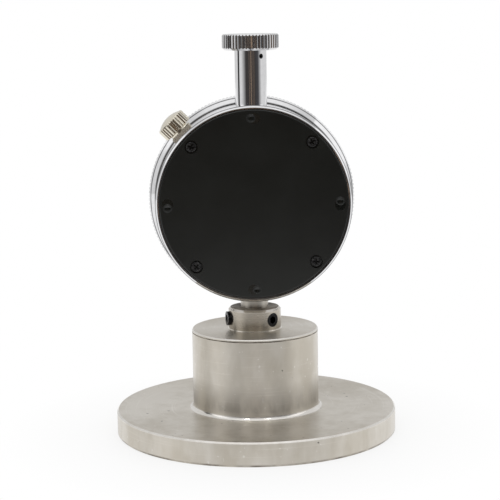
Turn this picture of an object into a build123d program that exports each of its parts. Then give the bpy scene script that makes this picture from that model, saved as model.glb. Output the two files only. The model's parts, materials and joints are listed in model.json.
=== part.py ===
from build123d import *
import os
from math import acos, atan2, cos, degrees, pi, radians, sin, sqrt, tan

# Foam hardness tester (dial durometer for soft foams) on its weighted foot.
# Millimetres, +Z up, origin at the centre of the foot's underside.
# The dial looks along -Y and the back cover along +Y. The spindle slides along Z, and the head, the
# bezel, the dial and every arbor of the movement turn about lines along Y.
# The foot stands flat, so the indenter is pushed up flush with it and the pointer reads full scale.

# ---- weighted foot ----
foot_diameter = 80.0
foot_thickness = 6.8
foot_edge_chamfer = 0.4
boss_diameter = 36.0
boss_height = 22.2
boss_foot_fillet = 1.2
lid_rim_thickness = 0.7
lid_edge_chamfer = 0.25
lid_joint_chamfer = 0.15
lid_spigot_diameter = 32.0
lid_spigot_depth = 4.5
lid_floor_thickness = 2.0
collar_diameter = 14.94
collar_height = 6.1
collar_edge_chamfer = 0.55
boss_bore_diameter = 30.0

# ---- indenter, a flat cylinder of the standard's size ----
indenter_diameter = 25.2
indenter_travel = 2.54
indenter_thickness = 4.0
indenter_gap = 0.4
indenter_neck_diameter = 7.0
indenter_neck_height = 14.0
indenter_thread_diameter = 2.5
indenter_thread_length = 5.0
indenter_edge_chamfer = 0.15
indenter_headroom = 8.0

# ---- stem, tube and top knob ----
stem_diameter = 7.9
stem_bore_diameter = 5.6
stem_exposed = 2.9
tube_diameter = 8.9
tube_bore_diameter = 7.4
tube_exposed = 14.9
tube_inside_case = 0.4
bush_length = 3.6
knob_diameter = 15.88
knob_height = 4.4
knob_teeth = 52
knob_tooth_depth = 0.32
knob_edge_chamfer = 0.35
knurl_land_share = 0.4
knob_plug_length = 4.2

# ---- grub screws ----
set_screw_diameter = 4.0
set_screw_socket = 2.0
set_screw_socket_depth = 2.0
set_screw_count = 3
set_screw_first_angle = 12.0
set_screw_proud = 0.9
set_screw_sunk = 0.15
lock_screw_diameter = 1.4
lock_screw_socket = 0.7
lock_screw_angle = 129.6
lock_screw_drop = 1.7
lock_screw_length = 2.0

# ---- case, a cup that opens to the back ----
case_diameter = 55.0
case_wall = 2.5
case_back = 9.0
case_front = -7.6
case_front_wall = 1.3
rim_width = 0.75
rim_chamfer = 0.6
cover_groove = 0.25
cover_seat_depth = 1.8
neck_step = 0.9
neck_back = -4.5

# ---- back cover and its screws ----
cover_edge_fillet = 0.5
cover_proud = 0.1
cover_screw_inset = 3.8
cover_screw_first_angle = 43.7
cover_screw_hole = 1.8
cover_counterbore = 3.7
cover_counterbore_depth = 0.9
cover_screw_head = 2.9
cover_screw_head_height = 0.8
cover_screw_shank = 1.6
cover_screw_length = 4.0
cover_screw_head_fillet = 0.25
cover_post_diameter = 4.4
cover_post_length = 5.0
cross_recess_width = 0.5
cross_recess_length = 1.7
cross_recess_depth = 0.5
cross_recess_turn = 25.0
cross_recess_turn_step = 35.0
cover_dimple_inset = 3.5
cover_dimple_first_angle = -1.3
cover_dimple_diameter = 2.5
cover_dimple_depth = 0.22
cover_bead_radius = 0.22
cover_bead_height = 0.12

# ---- bezel, dial and crystal ----
dial_ledge = 0.7
bezel_wall = 2.2
bezel_front_taper = 1.1
bezel_teeth = 168
bezel_tooth_depth = 0.3
bezel_shoulder = 1.9
bezel_back = -4.8
bezel_knurl_front = -8.6
bezel_front = -12.0
bezel_edge_chamfer = 0.3
dial_seat = -7.75
dial_thickness = 0.5
dial_hole_diameter = 4.4
crystal_thickness = 1.0
crystal_ring_thickness = 0.7
crystal_ring_width = 1.1
spacer_width = 0.6
snap_strip = 0.7
snap_groove_back = -6.0
snap_ring_gap_angle = 14.0

# ---- movement ----
rack_module = 0.4
train_module = 0.3
pinion_teeth = 12
wheel_teeth = 60
pressure_angle = 20.0
addendum_share = 0.7
dedendum_share = 0.95
backlash = 0.04
spindle_diameter = 4.0
rack_depth = 0.4
rack_teeth_below = 4
rack_teeth_above = 6
rack_pinion_width = 3.0
wheel_thickness = 0.8
wheel_back = -3.7
wheel_rim_width = 1.2
wheel_hub_diameter = 2.8
wheel_spoke_width = 1.2
wheel_spokes = 4
centre_pinion_width = 1.1
arbor_diameter = 1.2
pivot_diameter = 0.8
pivot_length = 0.8
centre_arbor_diameter = 1.0
centre_bush_diameter = 3.0
centre_bush_shoulder = 0.4
hairspring_angle = 30.0
bridge_thickness = 0.8
bridge_edge = 3.5
bridge_back = -2.4
rear_bridge_front = 3.2
rear_bridge_thickness = 1.0
boss_post_diameter = 4.8
pillar_diameter = 3.0
pillar_spots = [(-14.0, 9.8), (15.0, -9.2), (-17.0, -10.2)]
bridge_screw_head = 2.8
bridge_screw_head_height = 0.9
bridge_screw_shank = 1.4
bridge_screw_length = 3.0
screw_slot_width = 0.35
screw_slot_depth = 0.35
hairspring_front = -1.9
hairspring_width = 0.6
hairspring_strip = 0.2
hairspring_inner_radius = 1.4
hairspring_pitch = 0.8
hairspring_half_turns = 9
collet_diameter = 2.4
stud_diameter = 1.2
stop_collar_diameter = 7.2
stop_collar_height = 2.6
guide_pin_diameter = 1.2
guide_pin_reach = 7.6
guide_pin_rise = 1.8
guide_block_inner = 4.6
guide_block_outer = 7.9
guide_block_height = 6.4
guide_block_back = 1.8
guide_foot_width = 1.6

# ---- main spring ----
spring_seat_diameter = 6.8
spring_seat_thickness = 1.0
spring_mean_diameter = 5.5
spring_wire = 0.65
spring_turns = 5

# ---- pointer ----
pointer_length = 20.5
pointer_tail = 6.5
pointer_width = 1.0
pointer_tail_width = 2.2
pointer_thickness = 0.3
pointer_tip_width = 0.25
pointer_full_scale_angle = 151.6
pointer_hub_diameter = 3.2
pointer_hub_height = 1.2
pointer_back = -8.65

# ---- bezel clamp ----
clamp_angle = 45.0
clamp_plane = 0.0
clamp_knob_diameter = 8.9
clamp_knob_teeth = 32
clamp_tooth_depth = 0.25
clamp_knurl_height = 3.6
clamp_knob_dome = 1.1
clamp_knob_chamfer = 0.3
clamp_neck_diameter = 6.0
clamp_neck_height = 0.5
clamp_screw_diameter = 3.0
clamp_screw_reach = 2.2
clamp_plate_width = 6.4
clamp_plate_back = 3.6
clamp_plate_thickness = 0.9
clamp_toe_reach = 0.4

# ---- fits ----
running_fit = 0.03
free_gap = 0.3
assembly_fit = 0.02
pivot_shake = 0.04

# ---- heights and radii that follow ----
foot_radius = foot_diameter / 2
boss_radius = boss_diameter / 2
boss_top = foot_thickness + boss_height
lid_top = boss_top + lid_rim_thickness
collar_top = lid_top + collar_height
lid_bottom = boss_top - lid_spigot_depth
stem_bottom = lid_bottom + lid_floor_thickness
case_radius = case_diameter / 2
case_inner_radius = case_radius - case_wall
head_height = collar_top + stem_exposed + case_radius
tube_top = head_height + case_radius + tube_exposed
knob_top = tube_top + knob_height
stem_top = head_height - case_inner_radius + tube_inside_case
tube_bottom = head_height + case_inner_radius - tube_inside_case
pocket_radius = indenter_diameter / 2 + indenter_gap
pocket_top = indenter_thickness + indenter_headroom
indenter_neck_top = indenter_thickness + indenter_neck_height
spindle_radius = spindle_diameter / 2
bush_bore = spindle_diameter + 2 * running_fit
case_floor = case_front + case_front_wall
cover_seat = case_back - cover_seat_depth
cover_recess_radius = case_radius - rim_width
cover_radius = cover_recess_radius - cover_groove
cover_back = case_back + cover_proud
bridge_front = bridge_back - bridge_thickness
rear_bridge_back = rear_bridge_front + rear_bridge_thickness
neck_radius = case_radius - neck_step
bezel_bore_radius = neck_radius + 2 * running_fit
bezel_recess_radius = neck_radius + dial_ledge
bezel_radius = bezel_recess_radius + bezel_wall
bezel_root_radius = bezel_radius - bezel_tooth_depth
shoulder_radius = bezel_radius - bezel_shoulder

rack_pinion_radius = rack_module * pinion_teeth / 2
centre_pinion_radius = train_module * pinion_teeth / 2
wheel_radius = train_module * wheel_teeth / 2
centre_distance = centre_pinion_radius + wheel_radius
rack_line = spindle_radius - rack_depth
rack_arbor_x = -(rack_line + rack_pinion_radius)
rack_arbor_drop = sqrt(centre_distance**2 - rack_arbor_x**2)
rack_arbor_height = head_height - rack_arbor_drop
hairspring_x = centre_distance * cos(radians(hairspring_angle))
hairspring_rise = centre_distance * sin(radians(hairspring_angle))

stop_collar_bottom = stem_top + indenter_travel + running_fit
stop_collar_top = stop_collar_bottom + stop_collar_height
guide_pin_height = stop_collar_top + guide_pin_rise
upper_bush_top = tube_bottom + bush_length
spring_seat_bottom = upper_bush_top + indenter_travel + running_fit
spring_seat_top = spring_seat_bottom + spring_seat_thickness
plug_bottom = tube_top - knob_plug_length
head_axis = Axis((0, 0, head_height), (0, 1, 0))


def dial_plane(y):
    """Plane square to the head's axis at depth y. Its x is +X, its y is +Z, and it faces the dial's reader."""
    return Plane(origin=(0, y, head_height), x_dir=(1, 0, 0), z_dir=(0, -1, 0))


def turning_plane():
    """Plane through the head's axis, for turned profiles: x is the radius and y is the depth."""
    return Plane.XY.offset(head_height)


def involute(base_radius, radius):
    """Angle, in radians, that an involute has turned through where it reaches a radius."""
    slope = acos(base_radius / radius)
    return tan(slope) - slope


def tooth_outline(module, teeth, first_tooth):
    """Closed involute outline, with one tooth centred on the angle first_tooth, in degrees."""
    pitch_radius = module * teeth / 2
    base_radius = pitch_radius * cos(radians(pressure_angle))
    tip_radius = pitch_radius + addendum_share * module
    root_radius = pitch_radius - dedendum_share * module
    half_tooth = (pi * module / 2 - backlash) / (2 * pitch_radius) + involute(base_radius, pitch_radius)
    flank = [(root_radius, max(root_radius, base_radius)), (tip_radius, tip_radius)]
    if base_radius > root_radius:
        flank.insert(1, (base_radius, base_radius))
    points = []
    for tooth in range(teeth):
        centre = radians(first_tooth) + 2 * pi * tooth / teeth
        rising = [(r, centre - half_tooth + involute(base_radius, at)) for r, at in flank]
        falling = [(r, centre + half_tooth - involute(base_radius, at)) for r, at in reversed(flank)]
        points += [(r * cos(a), r * sin(a)) for r, a in rising + falling]
    return points


def knurl_outline(diameter, teeth, depth):
    """Closed outline of a straight knurl: V grooves that leave narrow lands on the diameter."""
    half_pitch = pi / teeth
    half_land = half_pitch * knurl_land_share
    tip, root = diameter / 2, diameter / 2 - depth
    points = []
    for tooth in range(teeth):
        middle = 2 * half_pitch * tooth
        corners = [(tip, middle - half_land), (tip, middle + half_land), (root, middle + half_pitch)]
        points += [(radius * cos(angle), radius * sin(angle)) for radius, angle in corners]
    return points


def save(piece, name):
    """Label a finished piece and write it to its own file."""
    piece.part.label = name
    export_step(piece.part, f"parts/{name}.step")


os.makedirs("parts", exist_ok=True)


# ==== weighted foot ====

# The foot and its boss are one turning. The pocket holds the indenter, the wider bore above it sets
# the weight, and the recess in the boss's top takes the lid's spigot.
with BuildPart() as weight_base:
    with BuildSketch():
        Circle(foot_radius)
    extrude(amount=foot_thickness)
    foot_rims = weight_base.edges().filter_by(GeomType.CIRCLE)
    chamfer(foot_rims, foot_edge_chamfer)
    with BuildSketch(Plane.XY.offset(foot_thickness)):
        Circle(boss_radius)
    extrude(amount=boss_height)
    boss_rims = weight_base.edges().filter_by(GeomType.CIRCLE)
    chamfer(boss_rims.sort_by(Axis.Z)[-1], lid_joint_chamfer)
    foot_rims = weight_base.edges().filter_by(GeomType.CIRCLE)
    foot_rims = foot_rims.filter_by_position(Axis.Z, foot_thickness, foot_thickness)
    fillet(foot_rims.sort_by(SortBy.RADIUS)[0], boss_foot_fillet)
    with BuildSketch():
        Circle(pocket_radius)
    extrude(amount=pocket_top, mode=Mode.SUBTRACT)
    with BuildSketch(Plane.XY.offset(pocket_top)):
        Circle(boss_bore_diameter / 2)
    extrude(amount=lid_bottom - pocket_top, mode=Mode.SUBTRACT)
    with BuildSketch(Plane.XY.offset(lid_bottom)):
        Circle(lid_spigot_diameter / 2 + assembly_fit)
    extrude(amount=lid_spigot_depth, mode=Mode.SUBTRACT)
save(weight_base, "weight_base")

set_screw_height = lid_top + collar_height / 2
set_screw_angles = [set_screw_first_angle + 360 / set_screw_count * k for k in range(set_screw_count)]


def radial_plane(angle, height, distance):
    """Plane that faces outwards from the spindle's axis, at an angle about Z, a height and a distance."""
    out = Vector(cos(radians(angle)), sin(radians(angle)), 0)
    return Plane(origin=out * distance + Vector(0, 0, height), x_dir=(0, 0, 1), z_dir=out)


# The lid closes the boss with a thin rim and carries the clamping collar.
with BuildPart() as base_lid:
    with BuildSketch(Plane.XY.offset(boss_top)):
        Circle(boss_radius)
    extrude(amount=lid_rim_thickness)
    lid_rims = base_lid.edges().filter_by(GeomType.CIRCLE).sort_by(Axis.Z)
    chamfer(lid_rims[-1], lid_edge_chamfer)
    chamfer(lid_rims[0], lid_joint_chamfer)
    with BuildSketch(Plane.XY.offset(lid_bottom)):
        Circle(lid_spigot_diameter / 2)
    extrude(amount=lid_spigot_depth)
    with BuildSketch(Plane.XY.offset(lid_top)):
        Circle(collar_diameter / 2)
    extrude(amount=collar_height)
    collar_rim = base_lid.edges().filter_by(GeomType.CIRCLE).sort_by(Axis.Z)[-1]
    chamfer(collar_rim, collar_edge_chamfer)
    with BuildSketch(Plane.XY.offset(stem_bottom)):
        Circle(stem_diameter / 2 + assembly_fit)
    extrude(amount=collar_top - stem_bottom, mode=Mode.SUBTRACT)
    with BuildSketch(Plane.XY.offset(lid_bottom)):
        Circle(stem_bore_diameter / 2)
    extrude(amount=lid_floor_thickness, mode=Mode.SUBTRACT)
    for angle in set_screw_angles:
        with BuildSketch(radial_plane(angle, set_screw_height, 0)):
            Circle(set_screw_diameter / 2)
        extrude(amount=collar_diameter, mode=Mode.SUBTRACT)
save(base_lid, "base_lid")

# Three hex-socket grub screws clamp the stem. The first stands a little proud of the collar.
set_screw_inner = stem_diameter / 2
set_screw_length = collar_diameter / 2 - set_screw_inner - set_screw_sunk
with BuildPart() as collar_set_screws:
    for number, angle in enumerate(set_screw_angles):
        length = set_screw_length + (set_screw_proud if number == 0 else 0)
        with BuildSketch(radial_plane(angle, set_screw_height, set_screw_inner)):
            Circle(set_screw_diameter / 2)
        extrude(amount=length)
        with BuildSketch(radial_plane(angle, set_screw_height, set_screw_inner + length)):
            RegularPolygon(set_screw_socket / 2, 6, major_radius=False)
        extrude(amount=-set_screw_socket_depth, mode=Mode.SUBTRACT)
save(collar_set_screws, "collar_set_screws")


# ==== case ====


def on_circle(radius, angle):
    """Point on a circle about the head's axis, seen from the dial's side."""
    return (radius * cos(radians(angle)), radius * sin(radians(angle)))


cover_screw_radius = case_radius - cover_screw_inset
cover_dimple_radius = case_radius - cover_dimple_inset
quarters = [0, 90, 180, 270]
cover_screw_spots = [on_circle(cover_screw_radius, cover_screw_first_angle + turn) for turn in quarters]
cover_dimple_spots = [
    on_circle(cover_dimple_radius, cover_dimple_first_angle + turn) for turn in quarters
]

# The clamp's axis leaves the head at an angle, in its own plane across the case.
clamp_out = Vector(cos(radians(clamp_angle)), 0, sin(radians(clamp_angle)))


def clamp_plane_at(distance):
    """Plane that faces out along the clamp screw, at a distance from the head's axis."""
    centre = Vector(0, clamp_plane, head_height) + clamp_out * distance
    return Plane(origin=centre, x_dir=(0, 1, 0), z_dir=clamp_out)


snap_groove_front = snap_groove_back - snap_strip - 2 * pivot_shake
snap_ring_radius = neck_radius
snap_groove_radius = snap_ring_radius - snap_strip / 2 - pivot_shake

with BuildPart() as case_body:
    with BuildSketch(turning_plane()):
        with BuildLine():
            Polyline(
                (0, case_floor),
                (0, case_front),
                (neck_radius, case_front),
                (neck_radius, snap_groove_front),
                (snap_groove_radius, snap_groove_front),
                (snap_groove_radius, snap_groove_back),
                (neck_radius, snap_groove_back),
                (neck_radius, neck_back),
                (case_radius, neck_back),
                (case_radius, case_back - rim_chamfer),
                (case_radius - rim_chamfer, case_back),
                (cover_recess_radius, case_back),
                (cover_recess_radius, cover_seat),
                (case_inner_radius, cover_seat),
                (case_inner_radius, case_floor),
                close=True,
            )
        make_face()
    revolve(axis=head_axis)
    with BuildSketch(dial_plane(cover_seat)):
        with Locations(*cover_screw_spots):
            Circle(cover_post_diameter / 2)
        Circle(cover_recess_radius, mode=Mode.INTERSECT)
    extrude(amount=cover_post_length)
    with BuildSketch(dial_plane(cover_seat)):
        with Locations(*cover_screw_spots):
            Circle(cover_screw_shank / 2)
    extrude(amount=cover_screw_length, mode=Mode.SUBTRACT)
    with BuildSketch(dial_plane(bridge_front)):
        with Locations(*pillar_spots):
            Circle(boss_post_diameter / 2)
    extrude(amount=bridge_front - case_floor)
    with BuildSketch(dial_plane(case_floor)):
        Circle(centre_bush_diameter / 2)
    extrude(amount=case_front_wall, mode=Mode.SUBTRACT)
    with BuildSketch(dial_plane(case_floor)):
        with Locations((rack_arbor_x, -rack_arbor_drop), (hairspring_x, hairspring_rise)):
            Circle(pivot_diameter / 2 + pivot_shake)
    extrude(amount=pivot_length + pivot_shake, mode=Mode.SUBTRACT)
    with BuildSketch(Plane.XY.offset(stem_top)):
        Circle(stem_diameter / 2)
    extrude(amount=-2 * case_wall, mode=Mode.SUBTRACT)
    with BuildSketch(Plane.XY.offset(tube_bottom)):
        Circle(tube_diameter / 2)
    extrude(amount=2 * case_wall, mode=Mode.SUBTRACT)
    with BuildSketch(clamp_plane_at(case_inner_radius - case_wall)):
        Circle(clamp_screw_diameter / 2 + running_fit)
    extrude(amount=3 * case_wall, mode=Mode.SUBTRACT)
save(case_body, "case_body")

# Four shallow round dimples in the cover, each with a low bead about it, stand at its quarters.
bead_ring_radius = cover_dimple_diameter / 2 - cover_bead_radius
bead_centre = cover_back + cover_bead_height - cover_bead_radius
dimple_sphere_radius = (bead_ring_radius**2 + cover_dimple_depth**2) / (2 * cover_dimple_depth)
dimple_centre = cover_back - cover_dimple_depth + dimple_sphere_radius
with BuildPart() as back_cover:
    with BuildSketch(dial_plane(cover_back)):
        Circle(cover_radius)
    extrude(amount=cover_back - cover_seat)
    back_rim = back_cover.edges().filter_by(GeomType.CIRCLE).sort_by(Axis.Y)[-1]
    fillet(back_rim, cover_edge_fillet)
    with BuildSketch(dial_plane(cover_back)):
        with Locations(*cover_screw_spots):
            Circle(cover_screw_hole / 2)
    extrude(amount=cover_back - cover_seat, mode=Mode.SUBTRACT)
    with BuildSketch(dial_plane(cover_back)):
        with Locations(*cover_screw_spots):
            Circle(cover_counterbore / 2)
    extrude(amount=cover_counterbore_depth, mode=Mode.SUBTRACT)
    for x, rise in cover_dimple_spots:
        with Locations((x, dimple_centre, head_height + rise)):
            Sphere(dimple_sphere_radius, mode=Mode.SUBTRACT)
        with Locations((x, bead_centre, head_height + rise)):
            Torus(bead_ring_radius, cover_bead_radius, rotation=(90, 0, 0))
save(back_cover, "back_cover")

cover_head_seat = cover_back - cover_counterbore_depth
with BuildPart() as cover_screws:
    with BuildSketch(dial_plane(cover_head_seat)):
        with Locations(*cover_screw_spots):
            Circle(cover_screw_head / 2)
    extrude(amount=-cover_screw_head_height)
    head_rims = cover_screws.edges().filter_by(GeomType.CIRCLE).group_by(Axis.Y)[-1]
    fillet(head_rims, cover_screw_head_fillet)
    with BuildSketch(dial_plane(cover_head_seat)):
        with Locations(*cover_screw_spots):
            Circle(cover_screw_shank / 2)
    extrude(amount=cover_head_seat - cover_seat + cover_screw_length)
    with BuildSketch(dial_plane(cover_head_seat + cover_screw_head_height)):
        for number, spot in enumerate(cover_screw_spots):
            turn = cross_recess_turn + cross_recess_turn_step * number
            with Locations(Location((spot[0], spot[1], 0), (0, 0, turn))):
                Rectangle(cross_recess_length, cross_recess_width)
                Rectangle(cross_recess_width, cross_recess_length)
    extrude(amount=cross_recess_depth, mode=Mode.SUBTRACT)
save(cover_screws, "cover_screws")


# ==== stem, tube and top knob ====

with BuildPart() as lower_stem:
    with BuildSketch(Plane.XY.offset(stem_bottom)):
        Circle(stem_diameter / 2)
        Circle(stem_bore_diameter / 2, mode=Mode.SUBTRACT)
    extrude(amount=stem_top - stem_bottom)
save(lower_stem, "lower_stem")

with BuildPart() as stem_bushes:
    for bottom in (stem_bottom, stem_top - bush_length):
        with BuildSketch(Plane.XY.offset(bottom)):
            Circle(stem_bore_diameter / 2)
            Circle(bush_bore / 2, mode=Mode.SUBTRACT)
        extrude(amount=bush_length)
save(stem_bushes, "stem_bushes")

lock_screw_height = tube_top - lock_screw_drop
lock_screw_inner = tube_diameter / 2 - lock_screw_length
with BuildPart() as upper_tube:
    with BuildSketch(Plane.XY.offset(tube_bottom)):
        Circle(tube_diameter / 2)
        Circle(tube_bore_diameter / 2, mode=Mode.SUBTRACT)
    extrude(amount=tube_top - tube_bottom)
    with BuildSketch(radial_plane(lock_screw_angle, lock_screw_height, 0)):
        Circle(lock_screw_diameter / 2)
    extrude(amount=tube_diameter, mode=Mode.SUBTRACT)
save(upper_tube, "upper_tube")

with BuildPart() as upper_bush:
    with BuildSketch(Plane.XY.offset(tube_bottom)):
        Circle(tube_bore_diameter / 2)
        Circle(bush_bore / 2, mode=Mode.SUBTRACT)
    extrude(amount=bush_length)
save(upper_bush, "upper_bush")

# The knob's plug closes the tube and seats the main spring.
with BuildPart() as top_knob:
    with BuildSketch(Plane.XY.offset(tube_top)):
        with BuildLine():
            Polyline(*knurl_outline(knob_diameter, knob_teeth, knob_tooth_depth), close=True)
        make_face()
    extrude(amount=knob_height)
    with BuildSketch(Plane.XZ):
        with BuildLine():
            Polyline(
                (0, tube_top),
                (knob_diameter / 2 - knob_edge_chamfer - knob_tooth_depth, tube_top),
                (knob_diameter / 2, tube_top + knob_edge_chamfer + knob_tooth_depth),
                (knob_diameter / 2, knob_top - knob_edge_chamfer),
                (knob_diameter / 2 - knob_edge_chamfer, knob_top),
                (0, knob_top),
                close=True,
            )
        make_face()
    revolve(axis=Axis.Z, mode=Mode.INTERSECT)
    with BuildSketch(Plane.XY.offset(plug_bottom)):
        Circle(tube_bore_diameter / 2 - assembly_fit)
    extrude(amount=knob_plug_length)
    with BuildSketch(radial_plane(lock_screw_angle, lock_screw_height, lock_screw_inner)):
        Circle(lock_screw_diameter / 2)
    extrude(amount=lock_screw_length, mode=Mode.SUBTRACT)
save(top_knob, "top_knob")

# A small grub screw in the tube's side locks the knob. It sits just below the surface.
with BuildPart() as knob_lock_screw:
    with BuildSketch(radial_plane(lock_screw_angle, lock_screw_height, lock_screw_inner)):
        Circle(lock_screw_diameter / 2)
    extrude(amount=lock_screw_length - free_gap)
    with BuildSketch(radial_plane(lock_screw_angle, lock_screw_height, tube_diameter / 2 - free_gap)):
        RegularPolygon(lock_screw_socket / 2, 6, major_radius=False)
    extrude(amount=-lock_screw_length / 2, mode=Mode.SUBTRACT)
save(knob_lock_screw, "knob_lock_screw")


# ==== bezel, dial and crystal ====

# The bezel turns on the case's neck, and a spring ring half in each part's groove keeps it on. Its
# back is a conical shoulder, which the clamp plate's toe bears on.
with BuildPart() as bezel:
    with BuildSketch(dial_plane(bezel_back)):
        with BuildLine():
            Polyline(*knurl_outline(2 * bezel_radius, bezel_teeth, bezel_tooth_depth), close=True)
        make_face()
    extrude(amount=bezel_back - bezel_front)
    with BuildSketch(turning_plane()):
        with BuildLine():
            Polyline(
                (0, bezel_back),
                (shoulder_radius, bezel_back),
                (bezel_radius, bezel_back - bezel_shoulder),
                (bezel_radius, bezel_knurl_front),
                (bezel_root_radius, bezel_knurl_front - bezel_edge_chamfer),
                (bezel_radius - bezel_front_taper, bezel_front),
                (0, bezel_front),
                close=True,
            )
        make_face()
    revolve(axis=head_axis, mode=Mode.INTERSECT)
    with BuildSketch(turning_plane()):
        with BuildLine():
            Polyline(
                (0, bezel_back),
                (bezel_bore_radius, bezel_back),
                (bezel_bore_radius, snap_groove_back),
                (snap_ring_radius + snap_strip / 2 + pivot_shake, snap_groove_back),
                (snap_ring_radius + snap_strip / 2 + pivot_shake, snap_groove_front),
                (bezel_bore_radius, snap_groove_front),
                (bezel_bore_radius, dial_seat),
                (bezel_recess_radius, dial_seat),
                (bezel_recess_radius, bezel_front),
                (0, bezel_front),
                close=True,
            )
        make_face()
    revolve(axis=head_axis, mode=Mode.SUBTRACT)
save(bezel, "bezel")

snap_ring_middle = (snap_groove_back + snap_groove_front) / 2
with BuildPart() as bezel_snap_ring:
    with BuildSketch(turning_plane()):
        with Locations((snap_ring_radius, snap_ring_middle)):
            Rectangle(snap_strip, snap_strip)
    revolve(axis=head_axis, revolution_arc=360 - snap_ring_gap_angle)
save(bezel_snap_ring, "bezel_snap_ring")

seat_radius = bezel_recess_radius - assembly_fit
crystal_front = bezel_front + crystal_ring_thickness
crystal_back = crystal_front + crystal_thickness
dial_front = dial_seat - dial_thickness

with BuildPart() as dial_plate:
    with BuildSketch(dial_plane(dial_seat)):
        Circle(seat_radius)
        Circle(dial_hole_diameter / 2, mode=Mode.SUBTRACT)
    extrude(amount=dial_thickness)
save(dial_plate, "dial_plate")

with BuildPart() as dial_spacer_ring:
    with BuildSketch(dial_plane(dial_front)):
        Circle(seat_radius)
        Circle(seat_radius - spacer_width, mode=Mode.SUBTRACT)
    extrude(amount=dial_front - crystal_back)
save(dial_spacer_ring, "dial_spacer_ring")

with BuildPart() as crystal:
    with BuildSketch(dial_plane(crystal_back)):
        Circle(seat_radius)
    extrude(amount=crystal_thickness)
save(crystal, "crystal")

with BuildPart() as crystal_ring:
    with BuildSketch(dial_plane(crystal_front)):
        Circle(seat_radius)
        Circle(seat_radius - crystal_ring_width, mode=Mode.SUBTRACT)
    extrude(amount=crystal_ring_thickness)
    ring_edges = crystal_ring.edges().filter_by(GeomType.CIRCLE).group_by(Axis.Y)[0]
    chamfer(ring_edges.sort_by(SortBy.RADIUS)[0], crystal_ring_thickness / 2)
save(crystal_ring, "crystal_ring")


# ==== bezel clamp ====

clamp_plate_top = case_radius + clamp_plate_thickness
clamp_plate_front = bezel_back - clamp_toe_reach

# The clamp plate is a curved strip that lies on the case under the knob. Its toe is bevelled to
# bear on the bezel's conical shoulder when the knob is tightened.
with BuildPart() as clamp_plate:
    with BuildSketch(clamp_plane_at(0)):
        with Locations(((clamp_plate_back + clamp_plate_front) / 2 - clamp_plane, 0)):
            Rectangle(clamp_plate_back - clamp_plate_front, clamp_plate_width)
    extrude(amount=case_diameter)
    with BuildSketch(dial_plane(case_back)):
        Circle(clamp_plate_top)
    extrude(amount=case_back - bezel_front, mode=Mode.INTERSECT)
    with BuildSketch(dial_plane(case_back)):
        Circle(case_radius)
    extrude(amount=case_back - neck_back, mode=Mode.SUBTRACT)
    with BuildSketch(turning_plane()):
        with BuildLine():
            Polyline(
                (0, bezel_front),
                (0, bezel_back + free_gap),
                (shoulder_radius, bezel_back + free_gap),
                (bezel_radius, bezel_back + free_gap - bezel_shoulder),
                (bezel_radius, bezel_front),
                close=True,
            )
        make_face()
    revolve(axis=head_axis, mode=Mode.SUBTRACT)
    with BuildSketch(clamp_plane_at(0)):
        Circle(clamp_screw_diameter / 2 + running_fit)
    extrude(amount=case_diameter, mode=Mode.SUBTRACT)
save(clamp_plate, "clamp_plate")

clamp_knob_bottom = clamp_plate_top + running_fit
clamp_knurl_bottom = clamp_knob_bottom + clamp_neck_height
clamp_knurl_top = clamp_knurl_bottom + clamp_knurl_height
clamp_line = Axis(Vector(0, clamp_plane, head_height), clamp_out)
clamp_turning_plane = Plane(
    origin=(0, clamp_plane, head_height), x_dir=(0, 1, 0), z_dir=Vector(0, 1, 0).cross(clamp_out)
)
with BuildPart() as clamp_knob:
    with BuildSketch(clamp_plane_at(clamp_knurl_bottom)):
        with BuildLine():
            Polyline(*knurl_outline(clamp_knob_diameter, clamp_knob_teeth, clamp_tooth_depth), close=True)
        make_face()
    extrude(amount=clamp_knurl_height)
    with BuildSketch(clamp_turning_plane):
        with BuildLine():
            Polyline(
                (0, clamp_knurl_bottom),
                (clamp_knob_diameter / 2 - clamp_knob_chamfer, clamp_knurl_bottom),
                (clamp_knob_diameter / 2, clamp_knurl_bottom + clamp_knob_chamfer),
                (clamp_knob_diameter / 2, clamp_knurl_top - clamp_knob_chamfer),
                (clamp_knob_diameter / 2 - clamp_knob_chamfer, clamp_knurl_top),
                (0, clamp_knurl_top),
                close=True,
            )
        make_face()
    revolve(axis=clamp_line, mode=Mode.INTERSECT)
    dome_edge = clamp_knob_diameter / 2 - clamp_knob_chamfer - clamp_tooth_depth
    dome_radius = (dome_edge**2 + clamp_knob_dome**2) / (2 * clamp_knob_dome)
    dome_start = degrees(acos(dome_edge / dome_radius))
    with BuildSketch(clamp_turning_plane):
        with BuildLine():
            rim_line = Line((0, clamp_knurl_top), (dome_edge, clamp_knurl_top))
            dome_centre = (0, clamp_knurl_top + clamp_knob_dome - dome_radius)
            dome_line = CenterArc(dome_centre, dome_radius, dome_start, 90 - dome_start)
            Line(dome_line @ 1, rim_line @ 0)
        make_face()
    revolve(axis=clamp_line)
    with BuildSketch(clamp_plane_at(clamp_knob_bottom)):
        Circle(clamp_neck_diameter / 2)
    extrude(amount=clamp_neck_height)
    with BuildSketch(clamp_plane_at(case_inner_radius - clamp_screw_reach)):
        Circle(clamp_screw_diameter / 2)
    extrude(amount=clamp_knob_bottom - case_inner_radius + clamp_screw_reach)
save(clamp_knob, "clamp_knob")


# ==== movement frame ====

rack_arbor_spot = (rack_arbor_x, -rack_arbor_drop)
hairspring_spot = (hairspring_x, hairspring_rise)
guide_block_x = (guide_block_inner + guide_block_outer) / 2
guide_slot_top = guide_pin_height + guide_pin_diameter / 2 + free_gap
guide_slot_bottom = guide_pin_height - indenter_travel - guide_pin_diameter / 2 - free_gap
guide_middle = (guide_slot_top + guide_slot_bottom) / 2
guide_foot_spot = (guide_block_x, guide_middle - head_height)

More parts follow.
